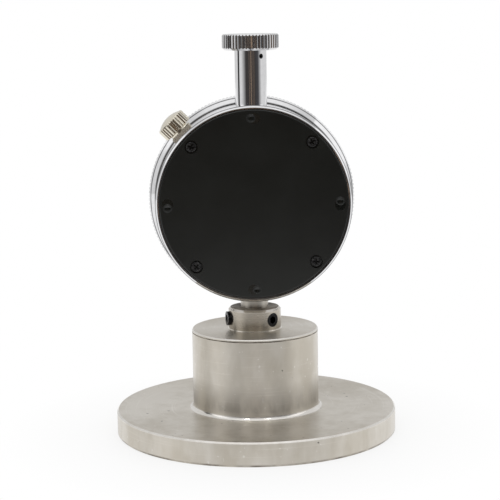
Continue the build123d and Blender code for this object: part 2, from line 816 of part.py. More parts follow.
# The centre bridge is a rounded plate on three posts of the case. It bears the centre arbor and
# carries the guide block, and the rear bridge stands behind it on three pillars.
with BuildPart() as centre_bridge:
    with BuildSketch(dial_plane(bridge_back)):
        with Locations(*pillar_spots, hairspring_spot, guide_foot_spot):
            Circle(bridge_edge)
        make_hull()
        with Locations(*pillar_spots):
            Circle(bridge_screw_shank / 2, mode=Mode.SUBTRACT)
        with Locations(rack_arbor_spot, hairspring_spot):
            Circle(arbor_diameter / 2 + free_gap, mode=Mode.SUBTRACT)
        with Locations((0, stop_collar_top + free_gap - head_height)):
            Rectangle(
                stop_collar_diameter + 2 * free_gap, case_inner_radius,
                align=(Align.CENTER, Align.MAX), mode=Mode.SUBTRACT,
            )
        Circle(pivot_diameter / 2 + pivot_shake, mode=Mode.SUBTRACT)
    extrude(amount=bridge_thickness)
save(centre_bridge, "centre_bridge")

with BuildPart() as bridge_pillars:
    with BuildSketch(dial_plane(rear_bridge_front)):
        with Locations(*pillar_spots):
            Circle(pillar_diameter / 2)
    extrude(amount=rear_bridge_front - bridge_back)
    with BuildSketch(dial_plane(bridge_back)):
        with Locations(*pillar_spots):
            Circle(bridge_screw_shank / 2)
    extrude(amount=bridge_thickness)
    with BuildSketch(dial_plane(rear_bridge_front)):
        with Locations(*pillar_spots):
            Circle(bridge_screw_shank / 2)
    extrude(amount=bridge_screw_length, mode=Mode.SUBTRACT)
save(bridge_pillars, "bridge_pillars")

with BuildPart() as rear_bridge:
    with BuildSketch(dial_plane(rear_bridge_back)):
        with Locations(*pillar_spots, hairspring_spot, rack_arbor_spot):
            Circle(bridge_edge)
        make_hull()
        with Locations(*pillar_spots):
            Circle(bridge_screw_shank / 2, mode=Mode.SUBTRACT)
        with Locations(rack_arbor_spot, hairspring_spot):
            Circle(pivot_diameter / 2 + pivot_shake, mode=Mode.SUBTRACT)
    extrude(amount=rear_bridge_thickness)
save(rear_bridge, "rear_bridge")

with BuildPart() as bridge_screws:
    with BuildSketch(dial_plane(rear_bridge_back)):
        with Locations(*pillar_spots):
            Circle(bridge_screw_head / 2)
    extrude(amount=-bridge_screw_head_height)
    with BuildSketch(dial_plane(rear_bridge_back)):
        with Locations(*pillar_spots):
            Circle(bridge_screw_shank / 2)
    extrude(amount=rear_bridge_thickness + bridge_screw_length)
    with BuildSketch(dial_plane(rear_bridge_back + bridge_screw_head_height)):
        with Locations(*pillar_spots):
            Rectangle(bridge_screw_head, screw_slot_width)
    extrude(amount=screw_slot_depth, mode=Mode.SUBTRACT)
save(bridge_screws, "bridge_screws")

# The guide block keeps the spindle from turning: the spindle's cross pin slides in its slot.
guide_height = guide_slot_top - guide_slot_bottom + 2 * guide_foot_width
with BuildPart() as guide_block:
    with BuildSketch(dial_plane(guide_block_back)):
        with Locations(guide_foot_spot):
            Rectangle(guide_block_outer - guide_block_inner, guide_height)
    extrude(amount=guide_block_back - bridge_back)
    with BuildSketch(Plane.YZ.offset(guide_block_inner)):
        with Locations((0, guide_middle)):
            Rectangle(guide_pin_diameter + 2 * running_fit, guide_slot_top - guide_slot_bottom)
    extrude(amount=guide_block_outer - guide_block_inner, mode=Mode.SUBTRACT)
save(guide_block, "guide_block")

with BuildPart() as centre_bush:
    with BuildSketch(dial_plane(case_floor + centre_bush_shoulder)):
        Circle(centre_bush_diameter / 2)
        Circle(centre_arbor_diameter / 2 + pivot_shake, mode=Mode.SUBTRACT)
    extrude(amount=case_front_wall + centre_bush_shoulder)
save(centre_bush, "centre_bush")


# ==== spindle and indenter ====

# The rack is cut across the side of the spindle. A tooth space faces the pinion at rest.
rack_pitch = pi * rack_module
rack_tip = rack_line + addendum_share * rack_module
rack_root = rack_line - dedendum_share * rack_module
flank_slope = tan(radians(pressure_angle))
rack_half_tip = rack_pitch / 4 - backlash / 2 - addendum_share * rack_module * flank_slope
rack_half_root = rack_pitch / 4 - backlash / 2 + dedendum_share * rack_module * flank_slope
rack_bottom = rack_arbor_height - rack_teeth_below * rack_pitch
rack_top = rack_arbor_height + rack_teeth_above * rack_pitch
rack_waste = [(-spindle_diameter, rack_bottom), (-rack_root, rack_bottom)]
for tooth in range(-rack_teeth_below, rack_teeth_above):
    middle = rack_arbor_height + (tooth + 0.5) * rack_pitch
    rack_waste += [
        (-rack_root, middle - rack_half_root),
        (-rack_tip, middle - rack_half_tip),
        (-rack_tip, middle + rack_half_tip),
        (-rack_root, middle + rack_half_root),
    ]
rack_waste += [(-rack_root, rack_top), (-spindle_diameter, rack_top)]

with BuildPart() as spindle:
    with BuildSketch(Plane.XY.offset(indenter_neck_top)):
        Circle(spindle_radius)
    extrude(amount=spring_seat_top - indenter_neck_top)
    with BuildSketch(Plane.XZ.offset(-spindle_radius)):
        with BuildLine():
            Polyline(*rack_waste, close=True)
        make_face()
    extrude(amount=spindle_diameter, mode=Mode.SUBTRACT)
    with BuildSketch(Plane.XY.offset(indenter_neck_top)):
        Circle(indenter_thread_diameter / 2)
    extrude(amount=indenter_thread_length, mode=Mode.SUBTRACT)
    with BuildSketch(Plane.YZ.offset(-spindle_radius)):
        with Locations((0, guide_pin_height)):
            Circle(guide_pin_diameter / 2)
    extrude(amount=spindle_diameter, mode=Mode.SUBTRACT)
save(spindle, "spindle")

with BuildPart() as indenter:
    with BuildSketch():
        Circle(indenter_diameter / 2)
    extrude(amount=indenter_thickness)
    chamfer(indenter.edges().filter_by(GeomType.CIRCLE), indenter_edge_chamfer)
    with BuildSketch(Plane.XY.offset(indenter_thickness)):
        Circle(indenter_neck_diameter / 2)
    extrude(amount=indenter_neck_height)
    with BuildSketch(Plane.XY.offset(indenter_neck_top)):
        Circle(indenter_thread_diameter / 2)
    extrude(amount=indenter_thread_length)
save(indenter, "indenter")

with BuildPart() as stop_collar:
    with BuildSketch(Plane.XY.offset(stop_collar_bottom)):
        Circle(stop_collar_diameter / 2)
        Circle(spindle_radius, mode=Mode.SUBTRACT)
    extrude(amount=stop_collar_height)
save(stop_collar, "stop_collar")

with BuildPart() as guide_pin:
    with BuildSketch(Plane.YZ.offset(-spindle_radius)):
        with Locations((0, guide_pin_height)):
            Circle(guide_pin_diameter / 2)
    extrude(amount=guide_pin_reach + spindle_radius)
save(guide_pin, "guide_pin")

with BuildPart() as spring_seat:
    with BuildSketch(Plane.XY.offset(spring_seat_bottom)):
        Circle(spring_seat_diameter / 2)
        Circle(spindle_radius, mode=Mode.SUBTRACT)
    extrude(amount=spring_seat_thickness)
save(spring_seat, "spring_seat")

# The main spring stands between the spindle's seat and the knob's plug.
spring_rise = plug_bottom - spring_seat_top - spring_wire
with BuildPart() as main_spring:
    with BuildLine():
        coil = Helix(
            pitch=spring_rise / spring_turns,
            height=spring_rise,
            radius=spring_mean_diameter / 2,
            center=(0, 0, spring_seat_top + spring_wire / 2),
        )
    with BuildSketch(coil ^ 0):
        RegularPolygon(spring_wire / 2, 6)
    sweep(is_frenet=True)
save(main_spring, "main_spring")


# ==== gear train ====

mesh_angle = degrees(atan2(rack_arbor_drop, -rack_arbor_x))
wheel_pitch_angle = 360 / wheel_teeth
pinion_pitch_angle = 360 / pinion_teeth
centre_pinion_tooth = mesh_angle + 180 + pinion_pitch_angle / 2
pinion_lead = (centre_pinion_tooth - hairspring_angle) % pinion_pitch_angle
hairspring_tooth = (
    hairspring_angle + 180 + wheel_pitch_angle / 2 - pinion_lead * pinion_teeth / wheel_teeth
)


def arbor_plane(spot, y):
    """Plane square to an arbor, centred on it, at depth y."""
    return Plane(origin=(spot[0], y, head_height + spot[1]), x_dir=(1, 0, 0), z_dir=(0, -1, 0))


def add_arbor(spot, front, back, diameter, pivots):
    """Add a round arbor from front to back, with a thinner pivot beyond each end that pivots names."""
    with BuildSketch(arbor_plane(spot, back)) as shaft:
        Circle(diameter / 2)
    extrude(shaft.sketch, amount=back - front)
    for end, outwards in pivots:
        with BuildSketch(arbor_plane(spot, end)) as pivot:
            Circle(pivot_diameter / 2)
        extrude(pivot.sketch, amount=outwards)


def wheel(spot, first_tooth):
    """A spoked 60-tooth wheel with a hub, bored for its arbor."""
    root = wheel_radius - dedendum_share * train_module
    with BuildPart() as made:
        with BuildSketch(arbor_plane(spot, wheel_back)):
            with BuildLine():
                Polyline(*tooth_outline(train_module, wheel_teeth, first_tooth), close=True)
            make_face()
            Circle(root - wheel_rim_width, mode=Mode.SUBTRACT)
            Circle(wheel_hub_diameter / 2)
            with PolarLocations(0, wheel_spokes):
                with Locations((root / 2, 0)):
                    Rectangle(root - wheel_rim_width, wheel_spoke_width)
            Circle(arbor_diameter / 2, mode=Mode.SUBTRACT)
        extrude(amount=wheel_thickness)
    return made


arbor_front = case_floor + pivot_shake
arbor_back = rear_bridge_front - pivot_shake
long_pivots = [(arbor_front, pivot_length - pivot_shake), (arbor_back, -(rear_bridge_thickness))]
with BuildPart() as rack_pinion_arbor:
    add_arbor(rack_arbor_spot, arbor_front, arbor_back, arbor_diameter, long_pivots)
    with BuildSketch(arbor_plane(rack_arbor_spot, rack_pinion_width / 2)):
        with BuildLine():
            Polyline(*tooth_outline(rack_module, pinion_teeth, 0), close=True)
        make_face()
    extrude(amount=rack_pinion_width)
save(rack_pinion_arbor, "rack_pinion_arbor")

drive_wheel = wheel(rack_arbor_spot, mesh_angle)
save(drive_wheel, "drive_wheel")

pointer_front = pointer_back - pointer_thickness
hub_front = pointer_back - pointer_hub_height
with BuildPart() as centre_pinion_arbor:
    add_arbor(
        (0, 0), hub_front, bridge_front - pivot_shake, centre_arbor_diameter,
        [(bridge_front - pivot_shake, -bridge_thickness)],
    )
    with BuildSketch(dial_plane(wheel_back + (centre_pinion_width - wheel_thickness) / 2)):
        with BuildLine():
            Polyline(*tooth_outline(train_module, pinion_teeth, centre_pinion_tooth), close=True)
        make_face()
    extrude(amount=centre_pinion_width)
save(centre_pinion_arbor, "centre_pinion_arbor")

with BuildPart() as hairspring_arbor:
    add_arbor(hairspring_spot, arbor_front, arbor_back, arbor_diameter, long_pivots)
    with BuildSketch(arbor_plane(hairspring_spot, hairspring_front + hairspring_width)):
        Circle(collet_diameter / 2)
    extrude(amount=hairspring_width)
save(hairspring_arbor, "hairspring_arbor")

hairspring_wheel = wheel(hairspring_spot, hairspring_tooth)
save(hairspring_wheel, "hairspring_wheel")

# The hairspring is a flat spiral of half circles, each a little wider than the one inside it. Its
# inner end lies against the collet and its outer end meets the stud.
half_step = hairspring_pitch / 2
hairspring_start = hairspring_inner_radius + hairspring_strip / 2
hairspring_end = hairspring_start + (hairspring_half_turns - 1) * half_step
with BuildPart() as hairspring:
    with BuildSketch(arbor_plane(hairspring_spot, hairspring_front + hairspring_width)):
        with BuildLine():
            for half in range(hairspring_half_turns):
                centre = (half_step * (half % 2), 0)
                CenterArc(centre, hairspring_start + half * half_step, 180 * (half % 2), 180)
        trace(line_width=hairspring_strip)
    extrude(amount=hairspring_width)
save(hairspring, "hairspring")

with BuildPart() as hairspring_stud:
    with BuildSketch(arbor_plane(hairspring_spot, hairspring_front + hairspring_width)):
        with Locations((-hairspring_end, -stud_diameter / 2)):
            Circle(stud_diameter / 2)
    extrude(amount=hairspring_front + hairspring_width - bridge_back)
save(hairspring_stud, "hairspring_stud")


# ==== pointer ====

# The pointer is a flat needle with a wide tail, drawn pointing at full scale, which is where it
# stands while the indenter is flush with the foot.
pointer_turn = 90 - pointer_full_scale_angle
with BuildPart() as pointer:
    with BuildSketch(dial_plane(pointer_back)):
        with BuildLine(mode=Mode.PRIVATE) as needle_line:
            Polyline(
                (pointer_length, pointer_tip_width / 2),
                (0, pointer_width / 2),
                (-pointer_tail, pointer_tail_width / 2),
                (-pointer_tail, -pointer_tail_width / 2),
                (0, -pointer_width / 2),
                (pointer_length, -pointer_tip_width / 2),
                close=True,
            )
        needle = make_face(needle_line.edges(), mode=Mode.PRIVATE)
        add(needle.rotate(Axis.Z, pointer_turn))
        Circle(pointer_hub_diameter / 2, mode=Mode.SUBTRACT)
        Circle(pointer_hub_diameter / 2)
        Circle(centre_arbor_diameter / 2, mode=Mode.SUBTRACT)
    extrude(amount=pointer_thickness)
save(pointer, "pointer")

with BuildPart() as pointer_hub:
    with BuildSketch(dial_plane(pointer_front)):
        Circle(pointer_hub_diameter / 2)
        Circle(centre_arbor_diameter / 2, mode=Mode.SUBTRACT)
    extrude(amount=pointer_front - hub_front)
save(pointer_hub, "pointer_hub")
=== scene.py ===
# %% [markdown]
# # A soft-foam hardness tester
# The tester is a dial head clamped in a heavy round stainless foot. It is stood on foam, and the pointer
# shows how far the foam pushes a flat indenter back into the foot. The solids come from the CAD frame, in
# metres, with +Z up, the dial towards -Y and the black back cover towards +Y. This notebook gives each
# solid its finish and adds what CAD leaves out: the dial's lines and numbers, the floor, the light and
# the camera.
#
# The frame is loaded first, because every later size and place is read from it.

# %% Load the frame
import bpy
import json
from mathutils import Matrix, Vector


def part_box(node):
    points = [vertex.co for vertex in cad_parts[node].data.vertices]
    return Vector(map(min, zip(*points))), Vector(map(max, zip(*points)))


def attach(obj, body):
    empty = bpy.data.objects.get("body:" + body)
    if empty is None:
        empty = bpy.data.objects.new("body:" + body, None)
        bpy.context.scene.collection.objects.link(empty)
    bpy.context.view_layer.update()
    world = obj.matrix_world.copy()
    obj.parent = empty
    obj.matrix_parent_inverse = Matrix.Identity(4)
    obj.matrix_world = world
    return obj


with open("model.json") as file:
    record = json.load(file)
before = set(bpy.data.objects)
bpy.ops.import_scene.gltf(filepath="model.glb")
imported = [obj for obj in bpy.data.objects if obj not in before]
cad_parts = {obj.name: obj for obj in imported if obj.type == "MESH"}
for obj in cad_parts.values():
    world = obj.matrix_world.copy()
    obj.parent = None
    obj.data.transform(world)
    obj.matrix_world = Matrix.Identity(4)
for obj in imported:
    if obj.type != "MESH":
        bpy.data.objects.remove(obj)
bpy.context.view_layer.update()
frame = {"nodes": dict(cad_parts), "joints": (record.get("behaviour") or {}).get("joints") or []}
nodes = frame["nodes"]

# %% [markdown]
# ## Sizes read from the frame
# The main sizes could be typed in again, but then a change to the CAD would be missed here. A joint
# knows the line that it turns about, so the bezel's joint gives the head's axis, and the boxes of the
# solids give the rest. Small sizes that no box shows, such as the width of a chamfer, are named in
# millimetres where they are needed.

# %% Sizes
import json
import math

import bpy
import numpy as np
from mathutils import Matrix, Vector

MM = 0.001
joints = {joint["name"]: joint for joint in frame["joints"]}
head = Vector(joints["bezel_turn"]["pos_m"])
foot_low, foot_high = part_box("weight_base")
lid_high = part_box("base_lid")[1]
case_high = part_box("case_body")[1]
bezel_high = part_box("bezel")[1]
dial_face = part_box("dial_plate")[0].y
foot_radius, boss_radius, case_radius = foot_high.x, lid_high.x, case_high.x
print("head axis at", head, "radii:", foot_radius, boss_radius, case_radius)

# %% [markdown]
# ## A small language for shader maths
# A finish is mostly sums of noises and masks, and long chains of Math nodes are hard to read. This class
# wraps one socket and gives it the usual operators, so that `1 - mask` or `a * b + c` adds the nodes. The
# reflected forms let a plain number stand on the left. Colours and vectors don't go through it, because
# a Math node turns a colour grey.


# %% Shader maths
class Wire:
    """One value in a node tree. An operator adds Math nodes and gives the wire that leaves the last."""

    def __init__(self, shop, socket):
        self.shop = shop
        self.socket = socket

    def math(self, operation, *others, **settings):
        """The Math node of an operation, with this wire first."""
        inputs = dict(enumerate((self, *others)))
        return self.shop.node("ShaderNodeMath", {"operation": operation, **settings}, inputs)

    def __add__(self, other):
        return self.math("ADD", other)

    def __sub__(self, other):
        return self.math("SUBTRACT", other)

    def __rsub__(self, other):
        return self * -1 + other

    def __mul__(self, other):
        return self.math("MULTIPLY", other)

    def __truediv__(self, other):
        return self.math("DIVIDE", other)

    def __abs__(self):
        return self.math("ABSOLUTE")

    __radd__ = __add__
    __rmul__ = __mul__

    def clamped(self):
        """The value held between 0 and 1."""
        return self.math("ADD", 0.0, use_clamp=True)

    def step(self, low, high):
        """0 below low, 1 above high, and a straight ramp between."""
        return ((self - low) / (high - low)).clamped()


def length(one, other):
    """The length of a line from its two parts at a right angle: the root of the sum of their squares."""
    return (one * one + other * other).math("SQRT")


print("reflected operators:", [name for name in vars(Wire) if name.startswith("__r")])

# %% [markdown]
# ## A shop for materials
# Every node is added by one method, which takes the node's type, its settings and what feeds its
# sockets. The other methods are short names for the nodes that this model uses most. Every pattern on
# the tester reads Object coordinates. A solid's object sits at the origin, so these are places on the
# tester in metres, and a pattern keeps its size and moves with the piece that it is on. The world has
# no such places, so its pattern reads the direction of a ray instead.


# %% Nodes
class Shop:
    """A material or a world being made: its node tree, its first shader and where its points are."""

    def __init__(self, owner, shader="Principled BSDF", coordinates="Object"):
        self.owner = owner
        owner.use_nodes = True
        self.tree = owner.node_tree
        self.shader = self.tree.nodes[shader]
        self.place = self.node("ShaderNodeTexCoord", {}, {}, coordinates)

    @classmethod
    def material(cls, name):
        """A shop for a new material."""
        return cls(bpy.data.materials.new(name))

    def put(self, socket, value):
        """Feed a socket from a wire, or set it to a plain value."""
        if isinstance(value, Wire):
            self.tree.links.new(value.socket, socket)
        else:
            socket.default_value = value

    def node(self, kind, settings, inputs, *outputs):
        """Add any node: first its settings, among them a ramp's stops, then the values or wires of its
        sockets. It gives the wires of the outputs that are named, or else of the first one."""
        made = self.tree.nodes.new(kind)
        for name, value in settings.items():
            if name == "stops":
                set_stops(made.color_ramp, value)
            else:
                setattr(made, name, value)
        for name, value in inputs.items():
            self.put(made.inputs[name], value)
        wires = [Wire(self, made.outputs[output]) for output in outputs or (0,)]
        return wires[0] if len(wires) == 1 else wires

    def ray(self, kind):
        """1 for rays of a kind, such as Is Camera Ray, and 0 for the others."""
        return self.node("ShaderNodeLightPath", {}, {}, kind)

    def split(self, vector):
        """The x, y and z of a vector, as three wires."""
        return self.node("ShaderNodeSeparateXYZ", {}, {0: vector}, "X", "Y", "Z")

    def join(self, x, y, z):
        """A vector from three values."""
        return self.node("ShaderNodeCombineXYZ", {}, {0: x, 1: y, 2: z})

    def scaled(self, vector, factors):
        """A vector with each of its parts multiplied by a number."""
        return self.node("ShaderNodeVectorMath", {"operation": "MULTIPLY"}, {0: vector, 1: factors})

    def noise(self, vector, scale, detail, roughness):
        """Smooth noise from 0 to 1, with so many lumps to each unit of the vector."""
        inputs = {"Vector": vector, "Scale": scale, "Detail": detail, "Roughness": roughness}
        return self.node("ShaderNodeTexNoise", {}, inputs)

    def mix(self, factor, first, second):
        """A colour between two colours. The Mix node keeps its colours at inputs 6 and 7."""
        return self.node("ShaderNodeMix", {"data_type": "RGBA"}, {0: factor, 6: first, 7: second}, 2)

    def bump(self, height, strength, distance):
        """A normal from a height, which is given in shares of the distance."""
        inputs = {"Strength": strength, "Distance": distance, "Height": height}
        return self.node("ShaderNodeBump", {}, inputs)

    def surface(self, **values):
        """Feed the surface shader's sockets. An underscore in a name stands for a space."""
        for name, value in values.items():
            self.put(self.shader.inputs[name.replace("_", " ")], value)
        return self.owner


def set_stops(ramp, stops):
    """Give a colour ramp its stops, each a place from 0 to 1 and a colour. A new ramp has two."""
    while len(ramp.elements) < len(stops):
        ramp.elements.new(0.5)
    for element, (place, shade) in zip(ramp.elements, stops):
        element.position = place
        element.color = shade


print("short names for nodes:", [name for name in vars(Shop) if not name.startswith("_")])

# %% [markdown]
# ## Colours and dressing
# A colour is written as a tint, three shares of red, green and blue, and most finishes go between a tint
# and a darker form of it. The CAD solids are already in the scene, so they are dressed by name: a solid
# keeps its mesh and only gets a new material.


# %% Colours
def colour(tint, share=1.0):
    """A solid colour: a tint times a share, or times one share for each of its three parts."""
    return (*np.multiply(tint, share).tolist(), 1.0)


def grey(level):
    """A neutral colour."""
    return colour((level, level, level))


def dress(material, *names):
    """Give CAD nodes one material."""
    for name in names:
        slots = nodes[name].data.materials
        slots.clear()
        slots.append(material)
    print(material.name, "on", ", ".join(names))


print("a mid grey is", grey(0.5))

# %% [markdown]
# ## Turned stainless steel
# The foot, the lid with its collar, the stem and the indenter are turned on a lathe, and the tool leaves
# very fine rings: circles on a flat face, and lines round a cylinder. An image would have to be wrapped
# round each face. Noise that is read at the distance from the axis and at the height draws the rings on
# every face by itself, so that is the way here. It gives the rings that the eye can see, as a height.
# The finer ones smear a reflection across the cut, which is the shader's Anisotropic setting.
#
# Years of use come on top. Broad noise makes the steel cloudy, and noise that changes slowly round the
# axis and quickly across the cut draws long thin scratches. Sparse noise adds small nicks and specks.


# %% Lathe marks
rings_per_metre = 9000
passes_per_metre = 700
scratches_per_metre = 2400


def lathe_marks(shop, radius, z):
    """Two noises of the radius and the height: fine rings, and the broader passes of the tool."""
    fine = shop.join(radius * rings_per_metre, z * rings_per_metre, 0.0)
    broad = shop.join(radius * passes_per_metre, z * passes_per_metre, 3.0)
    rings = shop.noise(fine, 1.0, detail=3.0, roughness=0.6)
    passes = shop.noise(broad, 1.0, detail=2.0, roughness=0.5)
    return rings, passes


def scratches(shop, x, y, radius, z):
    """Long thin scratches: noise of the direction round the axis, which changes slowly, and of the radius
    plus the height, which changes fast."""
    around = shop.join(x / radius * 1.6, y / radius * 1.6, (radius + z) * scratches_per_metre)
    return shop.noise(around, 1.0, detail=1.0, roughness=0.5).step(0.64, 0.72)


def near_points(points, radius, along, full):
    """1 at some points of a round piece's profile, and 0 away from them. A point is a radius, a place
    along the axis and a reach. The mark is full within a share of the reach and fades out at its end."""
    marks = []
    for point_radius, point_along, reach in points:
        distance = length(radius - point_radius, along - point_along)
        marks.append(1 - distance.step(reach * full, reach))
    return sum(marks)


print("rings to the millimetre:", rings_per_metre * MM, "scratches:", scratches_per_metre * MM)

# %% [markdown]
# ## Stains, painted shade and painted highlights
# Oil and dirt leave brown bands low on the boss and on the collar's wall, which are broken up by wiping.
# The same bands also stand for light and shade: painted shade in the joint between the boss and its
# lid, a painted contact shadow along the foot's lower edge, and a painted reflection of the dark head on
# the collar's top. Corners get a painted highlight, a lighter colour, along with the lower roughness
# that polishing by hands leaves. Both could be painted by hand, but a mask from the height or from the
# distance to a corner stays in its place on the solid.


# %% Turned steel
scratch_colour = colour((0.90, 0.87, 0.82))
nick_colour = colour((0.85, 0.83, 0.80))
speck_colour = colour((0.05, 0.045, 0.04))
stain_and_shade_colour = colour((0.13, 0.105, 0.08))
edge_highlight_colour = colour((0.90, 0.88, 0.85))
fine_cut_colour = colour((0.40, 0.36, 0.30))


def stain_bands(shop, z, smear, base, rough, dark_bands):
    """A base colour and a roughness with brown bands: stains, and in some places painted shade and a
    painted reflection. A band is a low and a high height and a strength. It sets in over the lowest fifth
    of its band and fades over the upper seven tenths."""
    for low, high, strength in dark_bands:
        reach = high - low
        band = z.step(low, low + reach * 0.2) * (1 - z.step(low + reach * 0.3, high)) * strength
        # each band darkens the base towards one brown, for stains and for painted shade and reflection
        # alike
        base = shop.mix(band * smear.step(0.36, 0.62), base, stain_and_shade_colour)
        rough = rough + band * 0.12
    return base, rough


def turned_steel(name, tint, highlight_edges=(), dark_bands=(), fine_from=None):
    """Satin steel turned about the line through the origin. Each edge is a point of the profile, whose
    corner gets a painted highlight and a lower roughness. Each dark band is a band of height: a stain,
    and in some places painted shade. Above the height fine_from the steel was left with a finer cut, which
    is smoother and a little darker."""
    shop = Shop.material(name)
    x, y, z = shop.split(shop.place)
    radius = length(x, y)
    rings, passes = lathe_marks(shop, radius, z)
    scratch = scratches(shop, x, y, radius, z)
    cloud = shop.noise(shop.place, 48.0, detail=4.0, roughness=0.55)
    smear = shop.noise(shop.scaled(shop.place, (1.0, 1.0, 0.35)), 190.0, detail=3.0, roughness=0.6)
    nick = shop.noise(shop.place, 1300.0, detail=0.0, roughness=0.5).step(0.80, 0.83)
    speck = shop.noise(shop.place, 800.0, detail=0.0, roughness=0.5).step(0.868, 0.88)
    shade = (cloud * 0.6 + smear * 0.4).step(0.39, 0.59)
    base = shop.mix(shade, colour(tint, (0.80, 0.78, 0.74)), colour(tint))
    base = shop.mix(scratch * 0.30 * cloud, base, scratch_colour)
    base = shop.mix(nick * 0.5, base, nick_colour)
    base = shop.mix(speck * 0.8, base, speck_colour)
    rough = 0.25 + 0.15 * cloud + 0.04 * rings - 0.05 * scratch
    # brown bands of height: stains, and also painted shade and a painted reflection where they are placed
    # so
    base, rough = stain_bands(shop, z, smear, base, rough, dark_bands)
    if highlight_edges:
        # painted highlight: the corners near the given edges get a lighter colour, besides the lower
        # roughness of polish
        wear_and_highlight = near_points(highlight_edges, radius, z, full=0.75)
        base = shop.mix(wear_and_highlight * (0.25 + 0.75 * smear), base, edge_highlight_colour)
        rough = rough - 0.16 * wear_and_highlight
    if fine_from is not None:
        fine = z.step(fine_from, fine_from + 0.1 * MM)
        base = shop.mix(fine * 0.45, base, fine_cut_colour)
        rough = rough - 0.08 * fine
    height = rings * 0.5 + passes * 0.3 + nick * 0.9 - speck
    return shop.surface(
        Base_Color=base,
        Metallic=1.0,
        Roughness=rough.clamped(),
        Anisotropic=0.75,
        Anisotropic_Rotation=0.25,
        Normal=shop.bump(height, 0.3, 0.02 * MM),
    )


dress(turned_steel("ground_indenter", (0.66, 0.65, 0.63)), "indenter")
dress(turned_steel("turned_stem", (0.58, 0.555, 0.51)), "lower_stem")

# %% [markdown]
# ## The foot and its lid
# The foot is a flange with a tall boss, and the lid closes the boss and carries the collar. Their
# profiles give the corners that get a painted highlight and the heights of the dark bands. The darkest
# line is painted shade in the gap at the joint between the boss and its lid, and the collar was turned
# with a finer cut than the rest. An edge below is a radius, a height and a reach, and a dark band is a
# low and a high height and a strength.

# %% Foot and lid
steel_tint = (0.685, 0.649, 0.589)
flange_thickness = 6.8 * MM
collar_height = 6.1 * MM
collar_radius = 7.47 * MM
flange_bottom, boss_top, collar_top = foot_low.z, foot_high.z, lid_high.z
flange_top = flange_bottom + flange_thickness
collar_foot = collar_top - collar_height
# corners of the foot that get a painted highlight
foot_highlight_edges = [
    (foot_radius - 0.2 * MM, flange_top - 0.2 * MM, 0.36 * MM),  # the flange's rim
    (boss_radius + 0.35 * MM, flange_top + 0.35 * MM, 0.80 * MM),  # the fillet under the boss
]
# corners of the lid and collar that get a painted highlight
lid_highlight_edges = [
    (boss_radius - 0.12 * MM, collar_foot - 0.1 * MM, 0.24 * MM),  # the lid's rim
    (collar_radius - 0.27 * MM, collar_top - 0.27 * MM, 0.50 * MM),  # the collar's chamfer
    (collar_radius, collar_foot, 0.24 * MM),  # where the collar meets the lid
]
# painted shade: a dark line in the gap at the joint between the boss and its lid
joint_gap_shade = (boss_top - 0.16 * MM, boss_top + 0.22 * MM, 1.5)
foot_dark_bands = [
    joint_gap_shade,
    (flange_top + 0.6 * MM, flange_top + 10.0 * MM, 0.45),  # low on the boss
    # painted contact shadow: a dark band along the foot's lower edge, where it meets the floor
    (flange_bottom + 0.02 * MM, flange_bottom + 0.80 * MM, 1.1),  # along the lower edge
]
lid_dark_bands = [
    joint_gap_shade,
    # painted reflection: the collar's polished top darkened as if it mirrored the dark head above
    (collar_top - 0.10 * MM, collar_top + 0.60 * MM, 2.4),  # on the collar's top
    (collar_foot - 0.50 * MM, collar_top + 3.0 * MM, 0.25),  # on the collar's wall
]
finer_cut = collar_foot + 0.2 * MM
foot_steel = turned_steel("turned_stainless", steel_tint, foot_highlight_edges, foot_dark_bands)
lid_steel = turned_steel("turned_lid", steel_tint, lid_highlight_edges, lid_dark_bands, fine_from=finer_cut)
dress(foot_steel, "weight_base")
dress(lid_steel, "base_lid")

# %% [markdown]
# ## Chrome and nickel
# The case, the bezel, the tube and the top knob are chrome plated, and the clamp is nickel plated. Plate
# is a mirror, so what it shows is the room, and its colour hardly matters. It is never quite flat: a
# very low, wide bump bends the reflections a little, and dull marks soften them here and there. Thin
# dark lines are painted in the corners of the case and the bezel, which are round about the head's
# axis: painted shade in the gaps and painted dark reflections on the chamfers. A corner is a radius, a
# depth along Y and a reach, and is found as the steel's edges are.


# %% Chrome
def chrome(name, tint, roughness, corners=()):
    """Polished plate with a slight ripple and a few dull marks. Each corner is a point of a profile
    about the head's axis, where a thin dark line of painted shade is drawn."""
    shop = Shop.material(name)
    wave = shop.noise(shop.place, 260.0, detail=2.0, roughness=0.5)
    dull = shop.noise(shop.place, 900.0, detail=3.0, roughness=0.6)
    base = shop.mix(dull.step(0.4, 0.7), colour(tint), colour(tint, 0.93))
    if corners:
        x, y, z = shop.split(shop.place)
        # painted shade: thin dark lines at the corners, for shade in the gaps and dark reflections on the
        # chamfers
        painted_shade_lines = near_points(corners, length(x, z - head.z), y, full=0.55)
        base = shop.mix((painted_shade_lines * (0.55 + 0.5 * wave)).clamped(), base, grey(0.07))
    return shop.surface(
        Base_Color=base,
        Metallic=1.0,
        Roughness=(roughness + 0.06 * dull.step(0.5, 0.8)).clamped(),
        Normal=shop.bump(wave, 0.25, 0.03 * MM),
    )


chrome_tint = (0.80, 0.80, 0.81)
nickel_tint = (0.78, 0.73, 0.62)
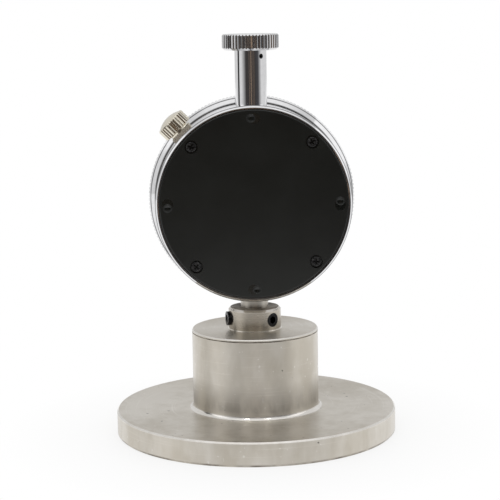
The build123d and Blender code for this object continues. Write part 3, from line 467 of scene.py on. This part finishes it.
# corners of the case and the bezel that get a painted dark line
case_corners = [
    (case_radius - 0.75 * MM, case_high.y, 0.22 * MM),  # inside the rim, round the cover
    (case_radius, case_high.y - 0.6 * MM, 0.34 * MM),  # the rim's chamfer
    (case_radius, bezel_high.y + 0.4 * MM, 0.50 * MM),  # behind the bezel
]
bezel_corners = [
    (case_radius + 0.1 * MM, bezel_high.y, 0.42 * MM),  # against the case
    (bezel_high.x - 0.55 * MM, bezel_high.y - 1.35 * MM, 0.24 * MM),  # high on the shoulder
]
dress(chrome("tube_chrome", chrome_tint, roughness=0.035), "upper_tube")
dress(chrome("knob_chrome", chrome_tint, roughness=0.11), "top_knob")
dress(chrome("case_chrome", chrome_tint, roughness=0.07, corners=case_corners), "case_body")
bezel_chrome = chrome("bezel_chrome", chrome_tint, roughness=0.07, corners=bezel_corners)
dress(bezel_chrome, "bezel", "crystal_ring")
dress(chrome("warm_nickel", nickel_tint, roughness=0.16), "clamp_knob")
dress(chrome("dull_nickel", nickel_tint, roughness=0.42), "clamp_plate")

# %% [markdown]
# ## The black cover
# The back cover is moulded in a black plastic with a fine satin grain, a little greyer where it has been
# handled. Four pins pushed it out of the mould and left four shallow dimples, whose floors are glossy.
# The dimples themselves are in the solid. Their gloss needs no new piece, only a lower roughness within
# a short distance of each.


# %% Black cover
def black_plastic(name, dimple_radius, dimple_turn):
    """Satin moulded plastic. The four dimples stand a quarter turn apart on a circle about the head's
    axis. Once the plane is turned to them, they mirror each other, and the absolute value of a place
    folds them onto two: one beside the axis and one above it."""
    shop = Shop.material(name)
    x, z = shop.split(shop.place)[::2]
    z = z - head.z
    cosine, sine = math.cos(dimple_turn), math.sin(dimple_turn)
    across = x * cosine + z * sine
    up = z * cosine - x * sine
    beside = length(abs(across) - dimple_radius, up)
    above = length(abs(up) - dimple_radius, across)
    dimple = 1 - beside.math("MINIMUM", above).step(1.35 * MM, 1.6 * MM)
    grain = shop.noise(shop.place, 3500.0, detail=2.0, roughness=0.6)
    handled = shop.noise(shop.place, 70.0, detail=4.0, roughness=0.6)
    black, greyer = colour((0.0054, 0.0066, 0.0056)), colour((0.0080, 0.0094, 0.0080))
    return shop.surface(
        Base_Color=shop.mix(handled.step(0.35, 0.7), black, greyer),
        Roughness=(0.27 + 0.10 * handled - 0.20 * dimple).clamped(),
        Normal=shop.bump(grain, 0.25, 0.03 * MM),
    )


dimple_inset = 3.5 * MM
dimple_turn = math.radians(1.3)
cover_plastic = black_plastic("satin_black_cover", case_radius - dimple_inset, dimple_turn)
dress(cover_plastic, "back_cover", "dial_spacer_ring")

# %% [markdown]
# ## The black screws
# The screws are steel with a black oxide, which is darker than the plastic and slightly shiny. A screw
# driver rubs the head's face lighter in places. The cross below the face is painted near black as
# painted shade, so the cover's screws get a mask from their depth along Y. The set screws sit deep in
# their holes and stay nearly black.


# %% Black screws
def black_oxide(name, rubbed, metallic, face=None):
    """Oiled black oxide, rubbed to a lighter grey in places. Where the depth of a screw's face is given,
    everything below it is painted near black, as painted shade in the recess."""
    shop = Shop.material(name)
    wear_and_highlight = shop.noise(shop.place, 2500.0, detail=3.0, roughness=0.6)
    base = shop.mix(wear_and_highlight.step(0.45, 0.70), colour((0.014, 0.014, 0.015)), grey(rubbed))
    if face is not None:
        depth = shop.split(shop.place)[1]
        # painted shade: the cross recess below the screw's face is made near black
        base = shop.mix(depth.step(face - 0.26 * MM, face - 0.08 * MM), grey(0.002), base)
    return shop.surface(
        Base_Color=base,
        Metallic=metallic,
        Roughness=(0.22 + 0.2 * wear_and_highlight).clamped(),
        Normal=shop.bump(wear_and_highlight, 0.3, 0.03 * MM),
    )


screw_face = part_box("cover_screws")[1].y
cover_oxide = black_oxide("cover_screw_oxide", rubbed=0.09, metallic=0.5, face=screw_face)
set_oxide = black_oxide("set_screw_oxide", rubbed=0.045, metallic=1.0)
dress(cover_oxide, "cover_screws")
dress(set_oxide, "collar_set_screws", "knob_lock_screw")

# %% [markdown]
# ## Parts of the movement
# The plates and wheels are brass, the bushes are bronze, and the arbors, screws and springs are steel.
# They are machined all over, which leaves a fine straight grain. One helper makes the four metals from
# a colour and a roughness, because nothing else sets them apart inside a closed case.


# %% Machined metal
def machined(name, tint, roughness):
    """Metal with a faint uneven tarnish and a grain of long thin lines: noise that changes several times
    faster along Z than across it."""
    shop = Shop.material(name)
    line = shop.noise(shop.scaled(shop.place, (900.0, 900.0, 6000.0)), 1.0, detail=3.0, roughness=0.6)
    tarnish = shop.noise(shop.place, 240.0, detail=4.0, roughness=0.6)
    return shop.surface(
        Base_Color=shop.mix(tarnish.step(0.35, 0.7), colour(tint), colour(tint, 0.78)),
        Metallic=1.0,
        Roughness=(roughness + 0.12 * line).clamped(),
        Normal=shop.bump(line, 0.3, 0.02 * MM),
    )


brass = machined("brass", (0.72, 0.52, 0.22), roughness=0.24)
bronze = machined("bronze", (0.50, 0.31, 0.15), roughness=0.34)
spring_steel = machined("spring_steel", (0.42, 0.43, 0.46), roughness=0.22)
spindle_steel = machined("spindle_steel", (0.60, 0.60, 0.61), roughness=0.20)
dress(brass, "centre_bridge", "rear_bridge", "bridge_pillars", "guide_block", "drive_wheel",
      "hairspring_wheel", "pointer_hub")
dress(bronze, "stem_bushes", "upper_bush", "centre_bush")
dress(spring_steel, "bezel_snap_ring", "bridge_screws", "main_spring", "hairspring", "hairspring_stud")
dress(spindle_steel, "spindle", "stop_collar", "guide_pin", "spring_seat", "rack_pinion_arbor",
      "centre_pinion_arbor", "hairspring_arbor")

# %% [markdown]
# ## The dial, the pointer and the crystal
# The dial is enamelled white, the pointer is painted black, and the crystal is mineral glass. Glass in
# Blender throws a full shadow unless caustics are traced, which would leave the dial grey. Real glass
# lets the light in, so this one is see-through for shadow rays and glass for all others.


# %% Paint and glass
def painted(name, tint, roughness, grain):
    """Paint or enamel with a faint change of shade and an orange peel of so many lumps to the metre."""
    shop = Shop.material(name)
    peel = shop.noise(shop.place, grain, detail=2.0, roughness=0.5)
    shade = shop.noise(shop.place, 90.0, detail=3.0, roughness=0.5)
    return shop.surface(
        Base_Color=shop.mix(shade.step(0.3, 0.7), colour(tint), colour(tint, 0.94)),
        Roughness=(roughness + 0.08 * peel).clamped(),
        Normal=shop.bump(peel, 0.15, 0.02 * MM),
    )


def clear_glass(name):
    """Clear glass with a slight gloss and a little dust. Its Alpha is one minus Is Shadow Ray."""
    shop = Shop.material(name)
    dust = shop.noise(shop.place, 800.0, detail=3.0, roughness=0.6)
    return shop.surface(
        Base_Color=grey(0.98),
        Roughness=0.01 + 0.03 * dust.step(0.6, 0.8),
        Transmission_Weight=1.0,
        IOR=1.45,
        Alpha=1 - shop.ray("Is Shadow Ray"),
    )


dial_enamel = painted("dial_enamel", (0.86, 0.86, 0.84), roughness=0.34, grain=2500.0)
pointer_paint = painted("pointer_paint", (0.015, 0.015, 0.016), roughness=0.38, grain=4000.0)
dress(dial_enamel, "dial_plate")
dress(pointer_paint, "pointer")
dress(clear_glass("crystal_glass"), "crystal")

# %% [markdown]
# ## Where a value stands on the dial
# The scale has 0 to 100 over the angle that the pointer turns through, which its joint gives. The tester
# stands on its foot with the indenter pushed right in, so the pointer rests on 100. Its tip is its point
# farthest from the axis, and every other value is measured back from there.

# %% The scale's angles
full_scale = 100
least_turn, most_turn = joints["pointer_turn"]["range_deg"]
sweep = math.radians(most_turn - least_turn)
tip = max((vertex.co for vertex in nodes["pointer"].data.vertices), key=lambda co: (co - head).length)
rest_angle = math.atan2(tip.x - head.x, tip.z - head.z)


def scale_angle(value):
    """The angle from the top at which a value stands, clockwise for the dial's reader."""
    return rest_angle - sweep * (full_scale - value) / full_scale


for value in (0, 50, 100):
    print(value, "stands at", round(math.degrees(scale_angle(value)), 1), "degrees")

# %% [markdown]
# ## The dial's lines
# The lines are thin printed ink. They could be painted by the enamel's material, but a hundred masks are
# slow and blur in a bake. Each line here is one flat bar with a little thickness, sunk slightly into the
# dial so that no light gets under it, and numpy works out all the bars together. A line at a ten is the
# longest and boldest, and one at a five comes next.


# %% Scale marks
def into_scene(name, data):
    """Put a mesh, a text, a lamp or a camera into the scene."""
    made = bpy.data.objects.new(name, data)
    bpy.context.scene.collection.objects.link(made)
    return made


def bars(name, angles, lengths, widths, outer, front, back):
    """Radial bars about the head's axis. A corner of a bar lies along its direction by the outer radius,
    or by that less its length, and across it by half its width to either side. The four corners stand
    at the front depth and again at the back depth, and six faces close them."""
    along = np.stack([np.sin(angles), np.cos(angles)], axis=1)
    across = np.stack([along[:, 1], -along[:, 0]], axis=1)
    reach = outer - lengths[:, None] * np.array([1, 1, 0, 0])
    side = widths[:, None] * np.array([-0.5, 0.5, 0.5, -0.5])
    flat = along[:, None] * reach[..., None] + across[:, None] * side[..., None]
    corners = np.concatenate([flat, flat], axis=1)
    depth = np.broadcast_to(np.repeat([front, back], 4)[:, None], (len(angles), 8, 1))
    points = np.concatenate([head.x + corners[..., :1], depth, head.z + corners[..., 1:]], axis=2)
    one_bar = np.array([[0, 1, 2, 3], [7, 6, 5, 4], [1, 0, 4, 5], [2, 1, 5, 6], [3, 2, 6, 7], [0, 3, 7, 4]])
    faces = one_bar + 8 * np.arange(len(angles))[:, None, None]
    mesh = bpy.data.meshes.new(name)
    mesh.from_pydata(points.reshape(-1, 3).tolist(), [], faces.reshape(-1, 4).tolist())
    return into_scene(name, mesh)


values = np.arange(0, full_scale + 1)
tens = values % 10 == 0
fives = (values % 5 == 0) & ~tens
line_lengths = np.where(tens, 3.2, np.where(fives, 2.5, 1.7)) * MM
line_widths = np.where(tens, 0.34, np.where(fives, 0.26, 0.17)) * MM
scale_radius = 24.9 * MM
ink_front = dial_face - 0.02 * MM
ink_back = dial_face + 0.01 * MM
scale_marks = bars("scale_marks", scale_angle(values), line_lengths, line_widths, scale_radius,
                   ink_front, ink_back)
print("lines:", len(values), "faces:", len(scale_marks.data.polygons))

# %% [markdown]
# ## The dial's numbers
# The numbers are the plain 0 to 100 of a hardness scale, one at each ten. A text object already knows the
# outline of each figure. It is made a mesh at once, and its place is applied to the mesh, because every
# finished object has to sit at the origin for the export.


# %% Numbers
number_radius = 18.4 * MM
number_size = 3.6 * MM
figure_height = 0.01 * MM


def number(value, angle, radius, size):
    """One upright number, centred at a radius and an angle from the top: the centre lies beside the axis
    by the radius times the angle's sine and above it by the radius times its cosine. The reader looks
    along +Y, so a quarter turn about X lays a figure's width along +X and its height along +Z."""
    text = bpy.data.curves.new(f"number_{value}_text", "FONT")
    text.body = str(value)
    text.size = size
    text.align_x = "CENTER"
    text.align_y = "CENTER"
    text.extrude = figure_height
    outline = into_scene(f"number_{value}_text", text)
    bpy.context.view_layer.update()
    mesh = bpy.data.meshes.new_from_object(outline)
    bpy.data.objects.remove(outline)
    centre = Vector((head.x + radius * math.sin(angle), dial_face - figure_height,
                     head.z + radius * math.cos(angle)))
    mesh.transform(Matrix.Translation(centre) @ Matrix.Rotation(math.pi / 2, 4, "X"))
    mesh.name = f"number_{value}"
    return into_scene(f"number_{value}", mesh)


printed = [scale_marks]
for value in range(0, full_scale + 1, 10):
    printed.append(number(value, scale_angle(value), number_radius, number_size))
ink = painted("dial_ink", (0.02, 0.02, 0.022), roughness=0.5, grain=5000.0)
for piece in printed:
    piece.data.materials.clear()
    piece.data.materials.append(ink)
    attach(piece, "bezel_assembly")
print("printed pieces:", len(printed))

# %% [markdown]
# ## The floor
# The floor is a pale sheet that ends a little way in front of the foot, towards +Y. Steel and chrome
# mirror it low down and the dim room beyond its edge higher up, and that is what makes them look like
# metal. To the camera, the sheet is plain white far away. Near the foot a share of its own shading stays
# in, so that the foot keeps its soft shadow.


# %% Floor
def sheet_floor(left, right, back, front):
    """A flat rectangle at the height of the foot's underside, given by its four edges in metres."""
    corners = [(left, back, 0.0), (right, back, 0.0), (right, front, 0.0), (left, front, 0.0)]
    mesh = bpy.data.meshes.new("floor")
    mesh.from_pydata(corners, [], [(0, 1, 2, 3)])
    return into_scene("floor", mesh)


def floor_white(name, shadow_share, near_radius, far_radius):
    """Pale paper that glows white for camera and mirror rays, apart from a share of its own shading,
    which fades out between two distances from the foot's axis."""
    shop = Shop.material(name)
    x, y = shop.split(shop.place)[:2]
    shaded = shadow_share * (1 - length(x, y).step(near_radius, far_radius))
    seen = shop.ray("Is Camera Ray") * (1 - shaded)
    mirrored = shop.ray("Is Glossy Ray") + shop.ray("Is Transmission Ray")
    paper = Wire(shop, shop.shader.outputs[0])
    white = shop.node("ShaderNodeEmission", {}, {"Color": grey(1.0), "Strength": 1.0})
    glow = (seen + mirrored).clamped()
    sheet = shop.node("ShaderNodeMixShader", {}, {0: glow, 1: paper, 2: white})
    shop.put(shop.tree.nodes["Material Output"].inputs[0], sheet)
    return shop.surface(Base_Color=grey(0.86), Roughness=0.7)


floor = sheet_floor(left=-1.2, right=1.2, back=-1.6, front=0.21)
pale_sheet = floor_white("floor_white", shadow_share=0.20, near_radius=42 * MM, far_radius=75 * MM)
floor.data.materials.append(pale_sheet)
print("floor from", tuple(floor.data.vertices[0].co), "to", tuple(floor.data.vertices[2].co))

# %% [markdown]
# ## The room
# Chrome shows the room around it, so the room's dark bands matter as much as its bright ones. It could
# be built from walls, but the world's colour alone can stand for it: a ramp over the compass direction
# of a ray gives a white panel at each side, a narrow dark gap, a pale wall behind and a dim room on the
# open side, with a few brown shelves. Its degrees are counted from +Y towards +X. Higher up, everything
# fades into a pale ceiling. The camera itself sees plain white all round.

# %% Room
world = bpy.data.worlds.new("studio")
bpy.context.scene.world = world
shop = Shop(world, "Background", "Generated")
x, y, z = shop.split(shop.place)
compass = x.math("ARCTAN2", y) / math.tau + 0.5
panel, gap, dim, dusk = grey(0.80), grey(0.02), colour((0.052, 0.048, 0.047)), colour((0.07, 0.07, 0.075))
walls = [
    (-180, grey(0.74)), (-130, grey(0.76)), (-80, panel), (-52, dusk), (-25, dim), (38, dim), (74, panel),
    (91, panel), (95, gap), (107, gap), (113, panel), (150, grey(0.72)),
]
stops = [(degrees / 360 + 0.5, shade) for degrees, shade in walls]
room = shop.node("ShaderNodeValToRGB", {"stops": stops}, {0: compass})
shelves = shop.noise(shop.join(compass * 70, 0.0, 0.0), 1.0, detail=2.0, roughness=0.6).step(0.54, 0.60)
open_side = 1 - abs(compass - 0.5).step(0.05, 0.075)
room = shop.mix(shelves * open_side, room, colour((0.52, 0.37, 0.26)))
ceiling = shop.mix(z.step(0.80, 0.93), grey(0.76), grey(1.0))
room = shop.mix(z.step(0.22, 0.50), room, ceiling)
shop.surface(Color=shop.mix(shop.ray("Is Camera Ray"), room, grey(1.0)))
print("walls at", [degrees for degrees, shade in walls], "degrees")

# %% [markdown]
# ## Lamps
# The world lights the tester evenly, and a few area lamps add shape. A large soft lamp on each side and
# one above brighten the upper faces, one in front lights the dial, and two small strong ones high up
# draw the short highlights on the knob and the rims. The lamp above and the dial's lamp stay out of
# mirror reflections, where they would show as plain squares.


# %% Lamps
def lamp(name, at, toward, size, radiance, mirrored=True):
    """A rectangular area lamp that faces a point. Its power is pi times its area times its radiance."""
    data = bpy.data.lights.new(name, "AREA")
    data.shape = "RECTANGLE"
    data.size, data.size_y = size
    data.energy = math.pi * size[0] * size[1] * radiance
    made = into_scene(name, data)
    made.location = at
    made.rotation_euler = (Vector(toward) - Vector(at)).to_track_quat("-Z", "Y").to_euler()
    made.visible_glossy = mirrored
    print(name, round(data.energy, 3), "W")


middle = (0, 0, 0.05)
lamp("left_lamp", (0.85, 0.25, 0.45), middle, (0.45, 0.7), 0.35)
lamp("right_lamp", (-0.85, 0.15, 0.45), middle, (0.45, 0.7), 0.35)
lamp("top_lamp", (0.0, 0.1, 1.0), middle, (0.6, 0.3), 2.0, mirrored=False)
lamp("dial_lamp", (0.0, -0.9, 0.5), head, (0.5, 0.5), 1.5, mirrored=False)
lamp("left_spot", (0.30, 0.72, 0.85), middle, (0.12, 0.12), 9.0)
lamp("right_spot", (-0.30, 0.72, 0.85), middle, (0.12, 0.12), 9.0)

# %% [markdown]
# ## Camera
# The tester is seen from behind, a little to one side and slightly from above. A long lens from nearly
# half a metre away keeps the foot from spreading. Three angles say where the camera looks: its turn
# about Z, its tilt downwards and a very slight lean. Its axes are worked out from them with plain
# vectors, because they show better than Euler angles what each angle does.

# %% Camera
image_pixels = 500
focal_pixels = 1598.5
shift_pixels = -3.64
camera_data = bpy.data.cameras.new("camera")
camera_data.sensor_width = 36.0
camera_data.lens = camera_data.sensor_width * focal_pixels / image_pixels
camera_data.shift_x = shift_pixels / image_pixels
camera_data.clip_start = 0.01
camera_data.clip_end = 20.0
camera_data.dof.use_dof = False
camera = into_scene("camera", camera_data)
turn, tilt, lean = math.radians(177.8), math.radians(9.057), math.radians(0.94)
camera_distance, camera_height = 449.05 * MM, 123.62 * MM
vertical = Vector((0, 0, 1))
level = Vector((-math.sin(turn), math.cos(turn), 0.0))
stand = vertical * camera_height - level * camera_distance
forward = level * math.cos(tilt) - vertical * math.sin(tilt)
right = level.cross(vertical).normalized()
upward = right.cross(forward)
side = right * math.cos(lean) - upward * math.sin(lean)
crown = right * math.sin(lean) + upward * math.cos(lean)
camera.matrix_world = Matrix((
    (side.x, crown.x, -forward.x, stand.x),
    (side.y, crown.y, -forward.y, stand.y),
    (side.z, crown.z, -forward.z, stand.z),
    (0, 0, 0, 1),
))
bpy.context.scene.camera = camera
bpy.context.scene.view_settings.view_transform = "Standard"
print("camera at", stand)

# %% [markdown]
